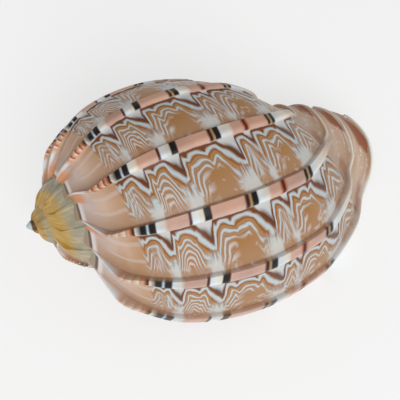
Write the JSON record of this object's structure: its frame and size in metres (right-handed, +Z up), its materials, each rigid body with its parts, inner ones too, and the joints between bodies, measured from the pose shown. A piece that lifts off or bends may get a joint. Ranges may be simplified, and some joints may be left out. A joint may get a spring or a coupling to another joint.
{
  "type": "harp shell",
  "caption": "Coiled sea-snail shell with flattened ribs over a wide body whorl, a low pointed spire, a broad opening underneath and a notched siphonal end; lies on its opening for display",
  "frame": {"origin": "On the surface that the shell lies on, under the middle of its bounding box", "axes": "+Z is up. +X runs along the coil towards the siphonal end, -X towards the spire's point. The lip is on the -Y side, low, with the opening facing down."},
  "size_m": [0.0624, 0.0426, 0.0324],
  "materials": {
    "shell": null
  },
  "bodies": {
    "root": {"shell": "shell"}
  },
  "joints": []
}
